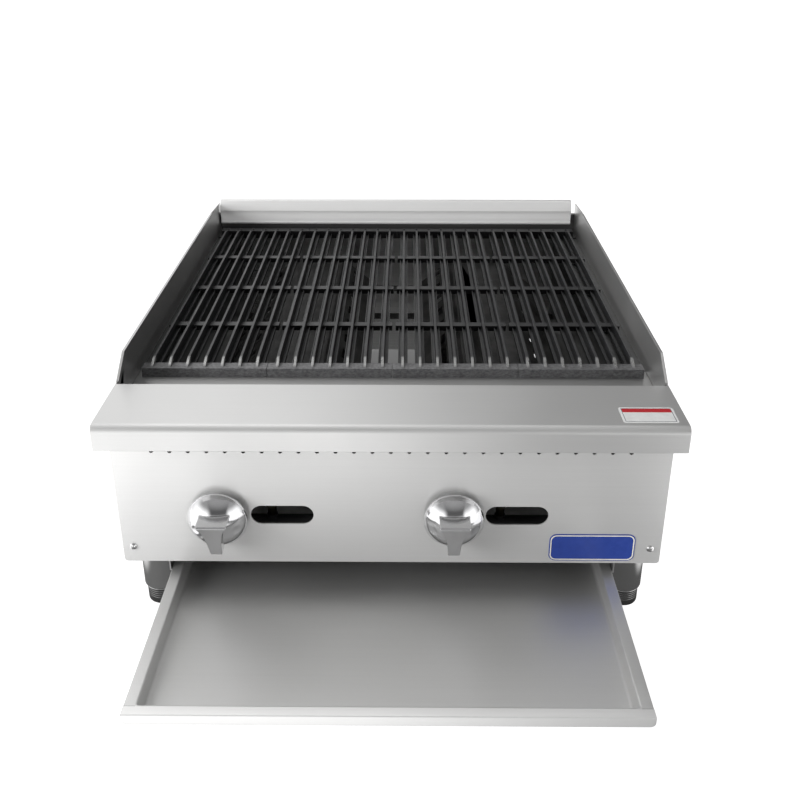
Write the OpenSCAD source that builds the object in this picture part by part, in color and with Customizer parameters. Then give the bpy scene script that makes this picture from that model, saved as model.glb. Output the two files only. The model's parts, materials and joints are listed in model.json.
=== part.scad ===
// Countertop gas charbroiler with two burners, four loose cast-iron grates and a drip tray.
// X runs from left to right, Y from front to back, Z is up, all in millimetres.
// The origin is on the counter, at the middle of the outline with the drip tray drawn out.
// Every module is written from the front panel's face (Y = 0) and home() moves it into place.

/* [Body] */
// Outside width across the side panels
body_w = 610; // [606:1:640]
// Depth from the front panel's face to the rear face
body_d = 676; // [672:1:690]
// Height of the body's underside above the counter
base_h = 96; // [92:1:100]
// Height of the recessed deck that carries the grates
deck_h = 272; // [268:1:276]
// Height of the front ledge's top
ledge_h = 300; // [296:1:304]
// Height of the side splashes at their front
splash_h = 323; // [318:1:328]
// Height of the rear riser's top
riser_h = 328; // [324:1:334]
// Thickness of the folded sheet
sheet = 1.5; // [1.2:0.1:1.6]

/* [Front ledge] */
// How far the ledge stands out in front of the panel
ledge_out = 48; // [40:1:60]
// How far the ledge reaches back behind the panel's face
ledge_back = 46; // [44:1:48]
// Height of the ledge's front face
ledge_drop = 29; // [24:1:32]
// Radius of the ledge's rounded front edge
nose_r = 8; // [5:0.5:12]

/* [Grates] */
// Ridges on one grate
ridge_count = 7; // [5:1:8]
// Front end of the grates, behind the front panel's face
grate_front = 117.5; // [116:0.5:120]
// Length of a grate, front to back
grate_len = 534.5; // [530:0.5:538]
// Height of a grate
grate_h = 18; // [16:1:20]

/* [Burners] */
// Distance between the two burners' middles
burner_pitch = 262; // [258:1:266]
// Distance between the two legs of one U-shaped burner
leg_gap = 123; // [115:1:125]
// Outside radius of a burner's tube
burner_r = 16; // [14:0.5:17]
// Height of the burners' and the knobs' axes
burner_z = 160; // [158:1:164]

/* [Controls] */
// Radius of a knob's skirt
knob_r = 33.5; // [28:0.5:35]
// Length of a pilot window
window_w = 70; // [60:1:74]
// Height of a pilot window
window_h = 24; // [18:1:26]
// Number of cooling slots under the ledge
slot_count = 27; // [15:2:27]

/* [Drip tray] */
// How far the tray is drawn out in front of the panel
tray_out = 212; // [60:1:260]
// Width of the tray across its rims
tray_w = 506; // [496:1:508]
// Length of the tray
tray_len = 560; // [500:5:570]
// Depth of the tray from rim to underside
tray_depth = 23; // [18:1:26]

/* [Legs] */
// Radius of a leg's tube
leg_r = 21; // [18:0.5:21]
// Height of the foot that shows below the leg
foot_h = 22; // [18:1:26]

/* [Hidden] */
$fn = 48;

steel = [0.80, 0.80, 0.80];
dark_steel = [0.45, 0.45, 0.45];
iron = [0.13, 0.13, 0.13];
brass = [0.78, 0.62, 0.32];
pipe_black = [0.16, 0.16, 0.17];

half_w = body_w / 2;
inner_x = half_w - sheet;

// Gas inlet at the rear: 3/4 inch pipe
pipe_r = 13.35;
thread_r = 12.56;
thread_len = 20;
inlet_out = 30;
rear_end = body_d + inlet_out;
home_y = (tray_out - rear_end) / 2;

// Side panel outline: splash corner, rise towards the rear, rear chamfer and hem
splash_front = 82;
splash_rise = 3;
chamfer_len = 78;
chamfer_drop = 5;
hem_h = 9;
flange_w = 16;
panel_gap = 4;
back_drop = 24;

// Front panel fittings
screw_x = half_w - 12;
screw_z = base_h + 20.5;
screw_hole_r = 2.5;
stem_hole_r = 7;
slot_pitch = 20;
slot_w = 4.5;
slot_low = 239.5;
slot_len = 18;
window_x = 9.3;

// Firebox
liner_x = 266;
firebox_low = base_h + 16;
lip = 20;
rest_edge = 136;
rear_rest = 640;
shelf_drop = 2;

// Grates
grate_count = 4;
grate_gap = 0.5;
grate_pitch = 148.5;
grate_w = grate_pitch - grate_gap;
edge_ridge = 12;
ridge_pitch = (grate_pitch - 2 * edge_ridge) / (ridge_count - 1);
ridge_w = 3;
bar_w = 11.7;
bar_low = 2;
rail_w = 15.5;
rail_h = 11.6;
member_w = 12;
member_h = 7;
member_count = 3;

// Burners and gas train
inlet_x = -leg_gap / 2;
bend_y = 540;
burner_front = 78;
return_front = 170;
burner_wall = 3;
port_r = 1.75;
port_pitch = 24;
port_count = 14;
radiant_front = 160;
radiant_len = 460;
radiant_top = 240;
radiant_low = 195;
radiant_flat = 80;
radiant_wide = 190;
radiant_wall = 4;
rest_w = 22;
rest_front = 165;
rest_rear = 590;
pipe_y = 30;
pipe_z = base_h + 28;
boss_r = 10;
boss_h = 4;
supply_x = 283;
supply_z = base_h + 28;
elbow_reach = 24;
valve_front = 22;
valve_back = 58;
valve_r = 13;
stem_r = 3;
stem_fit = 0.05;
shutter_fit = 0.06;
pilot_x = 55;
pilot_pipe_r = 2.4;

// Knob, with the grip's ends measured from the axis
knob_back = -8;
knob_deep = 38;
stem_front = -22;
grip_top = 15;
grip_low = -33;

// Tray and rails
tray_top = base_h - 13;
tray_low = tray_top - tray_depth;
rim_w = 12;
tray_lip = 12;
rail_gap = 0.3;
rail_x = tray_w / 2 + 1.5;

// Legs
leg_x = 283;
leg_y = [58, 600];
stud_r = 8;
leg_floor = 16;
leg_wall = 3;
stud_len = 75;

// Plates
plate_x = 227;
plate_z = base_h + 21.8;
plate_w = 97;
plate_h = 36;
plate_t = 1.2;
caution_x = 267;
caution_y = -20;
caution_w = 57;
caution_d = 32;
caution_t = 0.4;

// Moves a piece from the front panel's face to the origin on the counter
module home() {
    translate([0, home_y, 0]) children();
}

// Extrudes a Y-Z outline along X, about the middle
module across(w) {
    rotate([90, 0, 90]) linear_extrude(w, center = true) children();
}

// Extrudes an X-Z outline backwards from y
module along(y, len) {
    translate([0, y + len, 0]) rotate([90, 0, 0]) linear_extrude(len) children();
}

// Round bar pointing backwards from y
module rod_y(r, y, len) {
    translate([0, y, 0]) rotate([-90, 0, 0]) cylinder(r = r, h = len);
}

// Rectangle with round ends, upright or lying, by its full size
module obround(w, h) {
    r = min(w, h) / 2;
    square(w > h ? [w - 2 * r, h] : [w, h - 2 * r], center = true);
    for (end = [-1, 1])
        translate(w > h ? [end * (w / 2 - r), 0] : [0, end * (h / 2 - r)]) circle(r);
}

// Rectangle with rounded corners, about the middle
module round_plate(w, h, r) {
    square([w - 2 * r, h], center = true);
    square([w, h - 2 * r], center = true);
    for (x = [-1, 1], y = [-1, 1])
        translate([x * (w / 2 - r), y * (h / 2 - r)]) circle(r);
}

// Burner middles and valve axes, left then right
function burner_x(i) = (i - 0.5) * burner_pitch;
function valve_x(i) = burner_x(i) + inlet_x;

// ---- casing ----

// Right-hand side panel with its splash, hem and front flange
module side_panel() {
    top_edge = [
        [50, ledge_h - sheet + (50 - ledge_back) * (splash_h - ledge_h + sheet) / (splash_front - ledge_back)],
        [splash_front, splash_h],
        [body_d - chamfer_len, splash_h + splash_rise]
    ];
    color(steel) home() {
        translate([half_w - sheet / 2, 0, 0]) across(sheet) polygon([
            [sheet, base_h], [body_d, base_h], [body_d, splash_h + splash_rise - chamfer_drop],
            [body_d - chamfer_len, splash_h + splash_rise], [splash_front, splash_h],
            [ledge_back, ledge_h - sheet], [sheet, ledge_h - sheet]
        ]);
        translate([inner_x - sheet / 2, 0, 0]) across(sheet) polygon(concat(
            top_edge,
            [for (k = [len(top_edge) - 1:-1:0]) top_edge[k] - [0, hem_h]]
        ));
        difference() {
            translate([inner_x - flange_w, sheet, base_h + panel_gap])
                cube([flange_w, sheet, ledge_h - base_h - 2 * panel_gap]);
            translate([screw_x, 0, screw_z]) rod_y(screw_hole_r, 0, 10);
        }
    }
}

module side_panel_left() {
    mirror([1, 0, 0]) side_panel();
}

module side_panel_right() {
    side_panel();
}

module front_panel() {
    panel_top = ledge_h - 3;
    panel_mid = (panel_top + base_h) / 2;
    corner = 4;
    color(steel) home() along(0, sheet) difference() {
        translate([0, panel_mid]) round_plate(body_w, panel_top - base_h, corner);
        for (i = [0, 1]) {
            translate([valve_x(i), burner_z]) circle(stem_hole_r);
            translate([burner_x(i) + window_x, burner_z]) obround(window_w, window_h);
        }
        for (side = [-1, 1])
            translate([side * screw_x, screw_z]) circle(screw_hole_r);
        for (k = [0:slot_count - 1])
            translate([(k - (slot_count - 1) / 2) * slot_pitch, slot_low + slot_len / 2])
                obround(slot_w, slot_len);
    }
}

// Y-Z outline of the ledge's nose, shrunk by t all round
module nose_outline(t) {
    translate([-ledge_out + nose_r, ledge_h - ledge_drop + t])
        square([ledge_out + ledge_back - nose_r, ledge_drop - 2 * t]);
    translate([-ledge_out + t, ledge_h - ledge_drop + t])
        square([nose_r, ledge_drop - nose_r - t]);
    translate([-ledge_out + nose_r, ledge_h - nose_r]) circle(nose_r - t);
}

module front_ledge() {
    color(steel) home() {
        across(body_w - 2 * sheet) difference() {
            nose_outline(0);
            nose_outline(sheet);
            square([ledge_back + 1, ledge_h - sheet]);
        }
        for (side = [-1, 1])
            translate([side * (half_w - sheet / 2), 0, 0]) across(sheet) difference() {
                nose_outline(0);
                square([ledge_back + 1, ledge_h - sheet]);
            }
    }
}

module back_panel() {
    color(steel) home() along(body_d - sheet, sheet) difference() {
        translate([-inner_x, base_h]) square([2 * inner_x, riser_h - back_drop - base_h]);
        translate([supply_x, supply_z]) circle(pipe_r + 1.5);
        for (k = [-4:4])
            translate([k * 50, base_h + 30]) obround(34, 6);
    }
}

// Riser across the back: a creased face with a rolled hem below and a narrow top fold
module rear_riser() {
    left_end = -301;
    right_end = 295.5;
    hem_z = riser_h - 37.5;
    hem_r = 3;
    foot_y = body_d - 10;
    crease_y = body_d - 14;
    crease_z = riser_h - 16;
    top_y = body_d - 7;
    color(steel) home() translate([(left_end + right_end) / 2, 0, 0]) across(right_end - left_end) union() {
        polygon([
            [foot_y - sheet, hem_z], [crease_y - sheet, crease_z], [top_y - sheet, riser_h],
            [body_d, riser_h], [body_d, riser_h - back_drop], [body_d - sheet, riser_h - back_drop],
            [body_d - sheet, riser_h - sheet], [top_y, riser_h - sheet],
            [crease_y, crease_z], [foot_y, hem_z]
        ]);
        translate([foot_y - sheet / 2, hem_z]) circle(hem_r);
    }
}

// ---- firebox ----

// Step wall, recessed deck and down-turned edge in one fold
module grate_rest_front() {
    color(steel) home() across(2 * inner_x) polygon([
        [ledge_back - sheet, ledge_h - sheet], [ledge_back, ledge_h - sheet], [ledge_back, deck_h],
        [rest_edge, deck_h], [rest_edge, deck_h - lip], [rest_edge - sheet, deck_h - lip],
        [rest_edge - sheet, deck_h - sheet], [ledge_back - sheet, deck_h - sheet]
    ]);
}

// Shelf behind the grates with the firebox's dark back wall
module grate_rest_rear() {
    wall_y = body_d - 2 * sheet;
    wall_top = riser_h - back_drop - 2;
    color(dark_steel) home() across(2 * inner_x) polygon([
        [rear_rest, deck_h - lip], [rear_rest, deck_h], [wall_y, deck_h], [wall_y, wall_top],
        [wall_y + sheet, wall_top], [wall_y + sheet, deck_h - sheet],
        [rear_rest + sheet, deck_h - sheet], [rear_rest + sheet, deck_h - lip]
    ]);
}

// Right-hand firebox wall with a flange out to the side panel
module firebox_liner() {
    wall_front = rest_edge + sheet;
    wall_len = rear_rest - rest_edge - 2 * sheet;
    color(dark_steel) home() along(wall_front, wall_len) {
        translate([liner_x, firebox_low]) square([sheet, deck_h - shelf_drop - firebox_low]);
        translate([liner_x, deck_h - shelf_drop - sheet]) square([inner_x - liner_x, sheet]);
    }
}

module firebox_liner_left() {
    mirror([1, 0, 0]) firebox_liner();
}

module firebox_liner_right() {
    firebox_liner();
}

module heat_shield_front() {
    color(dark_steel) home() along(rest_edge, sheet) difference() {
        translate([-liner_x - sheet, firebox_low])
            square([2 * (liner_x + sheet), deck_h - shelf_drop - firebox_low]);
        for (i = [0, 1]) {
            translate([valve_x(i), burner_z]) circle(burner_r + 1.5);
            translate([valve_x(i) + pilot_x, burner_z]) circle(pilot_pipe_r + 1);
        }
    }
}

// Rear heat shield that reaches down between the tray rails
module heat_shield_rear() {
    skirt_w = 466;
    color(steel) home() along(rear_rest - sheet, sheet) {
        translate([-liner_x - sheet, firebox_low])
            square([2 * (liner_x + sheet), deck_h - shelf_drop - firebox_low]);
        translate([-skirt_w / 2, tray_low + 2]) square([skirt_w, firebox_low - tray_low]);
    }
}

// ---- base ----

// Right-hand base rail, with a hole for each leg's stud
module base_rail() {
    rail_in = 259;
    color(steel) home() difference() {
        translate([rail_in, sheet * 2, base_h]) cube([inner_x - rail_in, body_d - 3 * sheet, 2]);
        for (y = leg_y)
            translate([leg_x, y, base_h - 1]) cylinder(r = stud_r + 0.2, h = 4);
    }
}

module base_rail_left() {
    mirror([1, 0, 0]) base_rail();
}

module base_rail_right() {
    base_rail();
}

// Angle bars that tie the base rails together, behind the front panel and before the back panel
module cross_rails() {
    bar_x = 259;
    leg_up = 30;
    leg_in = 18;
    front = sheet;
    rear = body_d - sheet;
    color(steel) home() across(2 * bar_x) {
        polygon([
            [front, base_h], [front + leg_in, base_h], [front + leg_in, base_h + sheet],
            [front + sheet, base_h + sheet], [front + sheet, base_h + leg_up / 2], [front, base_h + leg_up / 2]
        ]);
        polygon([
            [rear, base_h], [rear - leg_in, base_h], [rear - leg_in, base_h + sheet],
            [rear - sheet, base_h + sheet], [rear - sheet, base_h + leg_up / 2], [rear, base_h + leg_up / 2]
        ]);
    }
}

// Right-hand angle that carries the tray's rim
module tray_rail() {
    rail_front = 4;
    rail_len = body_d - 30;
    shelf_in = rim_w - 2;
    shelf_top = tray_top - sheet - rail_gap;
    color(steel) home() along(rail_front, rail_len) {
        translate([rail_x, shelf_top - sheet]) square([sheet, base_h - shelf_top + sheet]);
        translate([rail_x - shelf_in, shelf_top - sheet]) square([shelf_in + sheet, sheet]);
        translate([rail_x - lip, base_h - sheet]) square([lip + sheet, sheet]);
    }
}

module tray_rail_left() {
    mirror([1, 0, 0]) tray_rail();
}

module tray_rail_right() {
    tray_rail();
}

// Pan with a flat rim all round, turned down at the front into a lip with rounded lower corners
module drip_tray() {
    pan_w = tray_w - 2 * rim_w;
    pan_len = tray_len - 2 * rim_w;
    lip_corner = 5;
    color(steel) home() translate([0, -tray_out, 0]) difference() {
        union() {
            translate([-tray_w / 2, 0, tray_top - sheet]) cube([tray_w, tray_len, sheet]);
            along(0, sheet) {
                translate([0, tray_top - tray_lip / 2]) round_plate(tray_w, tray_lip, lip_corner);
                translate([-tray_w / 2, tray_top - tray_lip / 2]) square([tray_w, tray_lip / 2]);
            }
            translate([-pan_w / 2, rim_w, tray_low]) cube([pan_w, pan_len, tray_depth]);
        }
        translate([-pan_w / 2 + sheet, rim_w + sheet, tray_low + sheet])
            cube([pan_w - 2 * sheet, pan_len - 2 * sheet, tray_depth]);
    }
}

// ---- heat ----

// Cast radiant: a flat top with sloping, slotted sides
module radiant(i) {
    low = radiant_wide / 2;
    high = radiant_flat / 2;
    slots = 9;
    slot_step = radiant_len / slots;
    slot_long = 26;
    slot_tall = 12;
    slot_z = (radiant_low + radiant_top) / 2;
    color(iron) home() translate([burner_x(i), 0, 0]) difference() {
        along(radiant_front, radiant_len) polygon([
            [-low, radiant_low], [-high, radiant_top], [high, radiant_top], [low, radiant_low],
            [low - 2 * radiant_wall, radiant_low], [high - radiant_wall / 2, radiant_top - radiant_wall],
            [-high + radiant_wall / 2, radiant_top - radiant_wall], [-low + 2 * radiant_wall, radiant_low]
        ]);
        for (k = [0:slots - 1], side = [-1, 1])
            translate([side * (low + high) / 2, radiant_front + (k + 0.5) * slot_step, slot_z])
                cube([radiant_wide / 4, slot_long, slot_tall], center = true);
    }
}

module radiant_left() {
    radiant(0);
}

module radiant_right() {
    radiant(1);
}

// Bars across the firebox at one height, under the front and rear ends
module firebox_bars(top) {
    for (y = [rest_front, rest_rear])
        translate([-liner_x, y, top - sheet]) cube([2 * liner_x, rest_w, sheet]);
}

module radiant_rests() {
    color(dark_steel) home() firebox_bars(radiant_low);
}

module burner_rests() {
    color(dark_steel) home() firebox_bars(burner_z - burner_r);
}

// Both legs and the rear bend of a burner, as solid bars of radius r
module burner_bars(r, front, closed_front) {
    for (side = [[inlet_x, front], [-inlet_x, closed_front]])
        translate([side[0], 0, 0]) rod_y(r, side[1], bend_y - side[1]);
    translate([0, bend_y, 0]) rotate_extrude(angle = 180) translate([leg_gap / 2, 0]) circle(r);
}

module burner(i) {
    shutter_y = burner_front + 8;
    color(iron) home() translate([burner_x(i), 0, burner_z]) difference() {
        burner_bars(burner_r, burner_front, return_front);
        burner_bars(burner_r - burner_wall, burner_front - 1, return_front + burner_wall);
        for (side = [-1, 1], k = [0:port_count - 1])
            translate([side * leg_gap / 2, 200 + k * port_pitch, 0]) cylinder(r = port_r, h = burner_r + 1);
        for (side = [-1, 1])
            translate([inlet_x + side * burner_r, shutter_y + 8, 0]) cube([burner_r, 12, 12], center = true);
    }
}

module burner_left() {
    burner(0);
}

module burner_right() {
    burner(1);
}

// Ring with two windows that turns on the burner's mouth to set the air
module air_shutter(i) {
    shutter_y = burner_front + 6;
    bore_r = burner_r + shutter_fit;
    color(steel) home() translate([valve_x(i), 0, burner_z]) difference() {
        rod_y(bore_r + 1.4, shutter_y, 20);
        rod_y(bore_r, shutter_y - 1, 22);
        for (side = [-1, 1])
            translate([side * (bore_r + 1), shutter_y + 10, 0]) cube([6, 12, 12], center = true);
    }
}

module air_shutter_left() {
    air_shutter(0);
}

module air_shutter_right() {
    air_shutter(1);
}

// ---- gas train ----

// Brass orifice hood that points into the burner's mouth
module orifice(i) {
    hood_y = valve_back + 8;
    color(brass) home() translate([valve_x(i), 0, burner_z]) difference() {
        union() {
            translate([0, hood_y, 0]) rotate([-90, 0, 0]) cylinder(r = 9, h = 10, $fn = 6);
            rod_y(6, hood_y + 10, 8);
        }
        rod_y(1.3, hood_y - 1, 20);
    }
}

module orifice_left() {
    orifice(0);
}

module orifice_right() {
    orifice(1);
}

// Pipe across the front with a capped left end and a boss under each valve
module manifold_pipe() {
    left_end = -262;
    cap_len = 16;
    wall = 3;
    pipe_len = supply_x - elbow_reach - left_end;
    color(pipe_black) home() translate([0, pipe_y, pipe_z]) difference() {
        union() {
            translate([left_end, 0, 0]) rotate([0, 90, 0]) cylinder(r = pipe_r, h = pipe_len);
            translate([left_end - 2, 0, 0]) rotate([0, 90, 0]) cylinder(r = pipe_r + wall, h = cap_len);
            for (i = [0, 1]) {
                translate([valve_x(i), 0, 0]) cylinder(r = boss_r, h = pipe_r + boss_h);
                translate([valve_x(i) + pilot_x, 0, 0]) cylinder(r = 6, h = pipe_r + boss_h);
            }
        }
        translate([left_end + wall, 0, 0]) rotate([0, 90, 0]) cylinder(r = pipe_r - wall, h = pipe_len);
    }
}

// Elbow at the manifold's right end, pipe along the side and the inlet behind, its thread drawn plain
module supply_pipe() {
    elbow_r = pipe_r + 4;
    wall = 3;
    color(pipe_black) home() translate([supply_x, 0, supply_z]) difference() {
        union() {
            translate([0, pipe_y, 0]) sphere(r = elbow_r);
            translate([-elbow_reach, pipe_y, 0]) rotate([0, 90, 0]) cylinder(r = pipe_r + wall, h = elbow_reach);
            rod_y(pipe_r + wall, pipe_y, elbow_reach);
            rod_y(pipe_r, pipe_y, rear_end - thread_len - pipe_y);
            rod_y(thread_r, pipe_y, rear_end - pipe_y);
        }
        translate([-elbow_reach - 1, pipe_y, 0]) rotate([0, 90, 0])
            cylinder(r = pipe_r - wall, h = elbow_reach + 1);
        rod_y(pipe_r - wall, pipe_y, rear_end - pipe_y + 1);
    }
}

// Valve body on its inlet stub, bored for the stem
module valve(i) {
    color(brass) home() translate([valve_x(i), 0, 0]) difference() {
        union() {
            translate([0, 0, burner_z]) rod_y(valve_r, valve_front + 8, valve_back - valve_front - 8);
            translate([0, 0, burner_z]) rod_y(8, valve_front, 8);
            translate([0, 0, burner_z]) rod_y(6, valve_back, 8);
            translate([0, pipe_y, pipe_z + pipe_r + boss_h])
                cylinder(r = 7, h = burner_z - pipe_z - pipe_r - boss_h);
        }
        translate([0, 0, burner_z]) rod_y(stem_r + stem_fit, valve_front - 1, 17);
    }
}

module valve_left() {
    valve(0);
}

module valve_right() {
    valve(1);
}

module valve_stem(i) {
    stem_back = valve_front + 14;
    color(brass) home() translate([valve_x(i), 0, burner_z]) rod_y(stem_r, stem_front, stem_back - stem_front);
}

module valve_stem_left() {
    valve_stem(0);
}

module valve_stem_right() {
    valve_stem(1);
}

// Half outline of the knob's skirt and dome, from the axis outwards
module dome_outline() {
    skirt_h = 3;
    dome_low = 20;
    dome_r = sqrt(knob_r * knob_r + dome_low * dome_low);
    square([knob_r, skirt_h]);
    intersection() {
        translate([0, skirt_h - dome_low]) circle(dome_r);
        translate([0, skirt_h]) square([knob_r, dome_r]);
    }
}

// The grip: wide at its upper shoulder, slim at the lower tip, thinning towards the tip
module grip() {
    intersection() {
        translate([0, knob_back, 0]) rotate([90, 0, 0]) linear_extrude(knob_deep) polygon([
            [-17, grip_top], [17, grip_top], [15.5, grip_top - 3], [11.5, 5], [9.4, -4], [7.6, -16],
            [6.4, grip_low], [-6.4, grip_low], [-7.6, -16], [-9.4, -4], [-11.5, 5], [-15.5, grip_top - 3]
        ]);
        rotate([90, 0, -90]) linear_extrude(2 * knob_r, center = true) polygon([
            [-knob_back + 8, grip_top], [-knob_back + knob_deep - 2, grip_top],
            [-knob_back + knob_deep, grip_top - 2], [-knob_back + 20, grip_low],
            [-knob_back + 8, grip_low]
        ]);
    }
}

// Dome scooped out on both sides of the grip, recessed behind around a hub that takes the stem
module knob(i) {
    hub_r = 8;
    recess_r = 28;
    recess_h = 6;
    scoop_r = 28;
    scoop_x = 38.5;
    scoop_out = 36;
    color(steel) home() translate([valve_x(i), 0, burner_z]) difference() {
        union() {
            difference() {
                translate([0, knob_back, 0]) rotate([90, 0, 0]) rotate_extrude() dome_outline();
                for (side = [-1, 1])
                    translate([side * scoop_x, knob_back - scoop_out, -8]) sphere(scoop_r);
            }
            grip();
        }
        translate([0, knob_back, 0]) rotate([90, 0, 0]) rotate_extrude()
            translate([hub_r, -1]) square([recess_r - hub_r, recess_h + 1]);
        rod_y(stem_r, stem_front, -stem_front);
    }
}

module knob_left() {
    knob(0);
}

module knob_right() {
    knob(1);
}

module pilot_valve(i) {
    top = pipe_z + pipe_r + boss_h;
    color(brass) home() translate([valve_x(i) + pilot_x, pipe_y, 0]) {
        translate([0, 0, top]) cylinder(r = 5, h = burner_z - top);
        translate([0, -10, burner_z]) rotate([-90, 0, 0]) cylinder(r = 6, h = 20);
    }
}

module pilot_valve_left() {
    pilot_valve(0);
}

module pilot_valve_right() {
    pilot_valve(1);
}

module pilot_tube(i) {
    tube_end = 176;
    color([0.75, 0.75, 0.77]) home() translate([valve_x(i) + pilot_x, 0, burner_z])
        rod_y(pilot_pipe_r, pipe_y + 10, tube_end - pipe_y - 10);
}

module pilot_tube_left() {
    pilot_tube(0);
}

module pilot_tube_right() {
    pilot_tube(1);
}

// Hooded pilot tip beside the burner's inlet leg
module pilot_burner(i) {
    color(dark_steel) home() translate([valve_x(i) + pilot_x, 0, burner_z]) difference() {
        rod_y(6, 176, 22);
        translate([0, 192, 4]) cube([14, 14, 8], center = true);
    }
}

module pilot_burner_left() {
    pilot_burner(0);
}

module pilot_burner_right() {
    pilot_burner(1);
}

// ---- grates ----

// X-Z outline of one bar: a gutter with a lip at each side of the ridge
module bar_outline() {
    lip_w = 1.2;
    lip_h = 7;
    gutter_h = 4.5;
    translate([-bar_w / 2, bar_low]) square([bar_w, gutter_h - bar_low]);
    for (side = [-1, 1])
        translate([side * (bar_w - lip_w) / 2 - lip_w / 2, bar_low]) square([lip_w, lip_h - bar_low]);
}

// Y-Z outline of a ridge: sloping ends, and a nub on the rear rail
module ridge_outline() {
    tip = 13;
    rear_slope = 22;
    nub_r = 2.5;
    polygon([
        [3, bar_low], [3, rail_h], [3 + tip, grate_h], [grate_len - 14 - rear_slope, grate_h],
        [grate_len - 14, rail_h], [grate_len - 3, rail_h], [grate_len - 3, bar_low]
    ]);
    translate([grate_len - 7, rail_h - 0.6]) circle(nub_r);
}

// One loose grate, numbered from the left
module grate(n) {
    left = -grate_count * grate_pitch / 2 + n * grate_pitch + grate_gap / 2;
    member_step = (grate_len - rail_w) / (member_count + 1);
    color(iron) home() translate([left, grate_front, deck_h]) {
        for (k = [0:ridge_count - 1])
            translate([edge_ridge - grate_gap / 2 + k * ridge_pitch, 0, 0]) {
                along(2, grate_len - 4) bar_outline();
                across(ridge_w) ridge_outline();
            }
        cube([grate_w, rail_w, rail_h]);
        translate([0, grate_len - rail_w, 0]) cube([grate_w, rail_w, rail_h]);
        for (k = [1:member_count])
            translate([2, k * member_step + (rail_w - member_w) / 2, bar_low])
                cube([grate_w - 4, member_w, member_h]);
    }
}

module grate_1() {
    grate(0);
}

module grate_2() {
    grate(1);
}

module grate_3() {
    grate(2);
}

module grate_4() {
    grate(3);
}

// ---- legs ----

// Places a leg piece: side is -1 left or 1 right, row is 0 front or 1 rear
module at_leg(side, row) {
    home() translate([side * leg_x, leg_y[row], 0]) children();
}

// Tube with a bead at its foot end, a bored floor for the levelling stud and a stud on top
module leg(side, row) {
    color(steel) at_leg(side, row) rotate_extrude() difference() {
        union() {
            translate([0, foot_h + 2]) square([leg_r, base_h - foot_h - 2]);
            translate([0, foot_h]) square([leg_r - 1, 3]);
            translate([0, base_h]) square([stud_r, 10]);
        }
        translate([0, foot_h - 1]) square([stud_r + 0.08, leg_floor + 1]);
        translate([0, foot_h + leg_floor - 0.5]) square([leg_r - leg_wall, base_h - foot_h - leg_floor - 4]);
    }
}

module leg_front_left() {
    leg(-1, 0);
}

module leg_front_right() {
    leg(1, 0);
}

module leg_rear_left() {
    leg(-1, 1);
}

module leg_rear_right() {
    leg(1, 1);
}

// Levelling foot on its stud
module foot(side, row) {
    foot_r = 18.5;
    tip_r = 16;
    color(steel) at_leg(side, row) rotate_extrude() {
        polygon([
            [0, 0], [tip_r, 0], [foot_r, 8], [foot_r, foot_h], [stud_r, foot_h],
            [stud_r, stud_len], [0, stud_len]
        ]);
    }
}

module foot_front_left() {
    foot(-1, 0);
}

module foot_front_right() {
    foot(1, 0);
}

module foot_rear_left() {
    foot(-1, 1);
}

module foot_rear_right() {
    foot(1, 1);
}

module leg_nuts() {
    color(steel) for (side = [-1, 1], row = [0, 1])
        at_leg(side, row) difference() {
            translate([0, 0, base_h + 2]) cylinder(r = 14, h = 7, $fn = 6);
            translate([0, 0, base_h + 1]) cylinder(r = stud_r, h = 9);
        }
}

// ---- fasteners and plates ----

// Pan head that stands out of the face y = 0 towards the front
module pan_head(r, h) {
    rotate([90, 0, 0]) rotate_extrude() intersection() {
        translate([0, h - 2 * r]) circle(2 * r);
        square([r, h]);
    }
}

module panel_screws() {
    color(steel) home() for (side = [-1, 1])
        translate([side * screw_x, 0, screw_z]) {
            pan_head(4.5, 2.6);
            rod_y(screw_hole_r, 0, 6);
        }
}

// Screw heads along each side panel's lower edge and rear edge
module side_screws() {
    low = base_h + 14;
    places = [[40, low], [330, low], [620, low], [640, 180], [640, 260]];
    color(steel) home() for (side = [-1, 1], p = places)
        translate([side * half_w, p[0], p[1]]) rotate([0, 0, side * 90]) pan_head(4, 2.2);
}

module nameplate() {
    border = 1.6;
    color([0.16, 0.24, 0.60]) home() translate([plate_x, 0, plate_z]) {
        along(-plate_t + 0.3, plate_t - 0.3) round_plate(plate_w, plate_h, 8);
        along(-plate_t, 0.3) difference() {
            round_plate(plate_w, plate_h, 8);
            round_plate(plate_w - 2 * border, plate_h - 2 * border, 8 - border);
        }
    }
}

module caution_plate() {
    color([0.95, 0.95, 0.93]) home() translate([caution_x, caution_y, ledge_h])
        linear_extrude(caution_t) round_plate(caution_w, caution_d, 3);
}

side_panel_left();
side_panel_right();
front_panel();
front_ledge();
back_panel();
rear_riser();
grate_rest_front();
grate_rest_rear();
firebox_liner_left();
firebox_liner_right();
heat_shield_front();
heat_shield_rear();
base_rail_left();
base_rail_right();
cross_rails();
tray_rail_left();
tray_rail_right();
drip_tray();
radiant_left();
radiant_right();
radiant_rests();
burner_left();
burner_right();
burner_rests();
air_shutter_left();
air_shutter_right();
orifice_left();
orifice_right();
manifold_pipe();
supply_pipe();
valve_left();
valve_right();
valve_stem_left();
valve_stem_right();
knob_left();
knob_right();
pilot_valve_left();
pilot_valve_right();
pilot_tube_left();
pilot_tube_right();
pilot_burner_left();
pilot_burner_right();
grate_1();
grate_2();
grate_3();
grate_4();
leg_front_left();
leg_front_right();
leg_rear_left();
leg_rear_right();
foot_front_left();
foot_front_right();
foot_rear_left();
foot_rear_right();
leg_nuts();
panel_screws();
side_screws();
nameplate();
caution_plate();
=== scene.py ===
"""Countertop gas charbroiler: finishes, detailed pieces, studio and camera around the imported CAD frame."""

import json
import math

import bmesh
import bpy
from mathutils import Matrix, Vector

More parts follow.
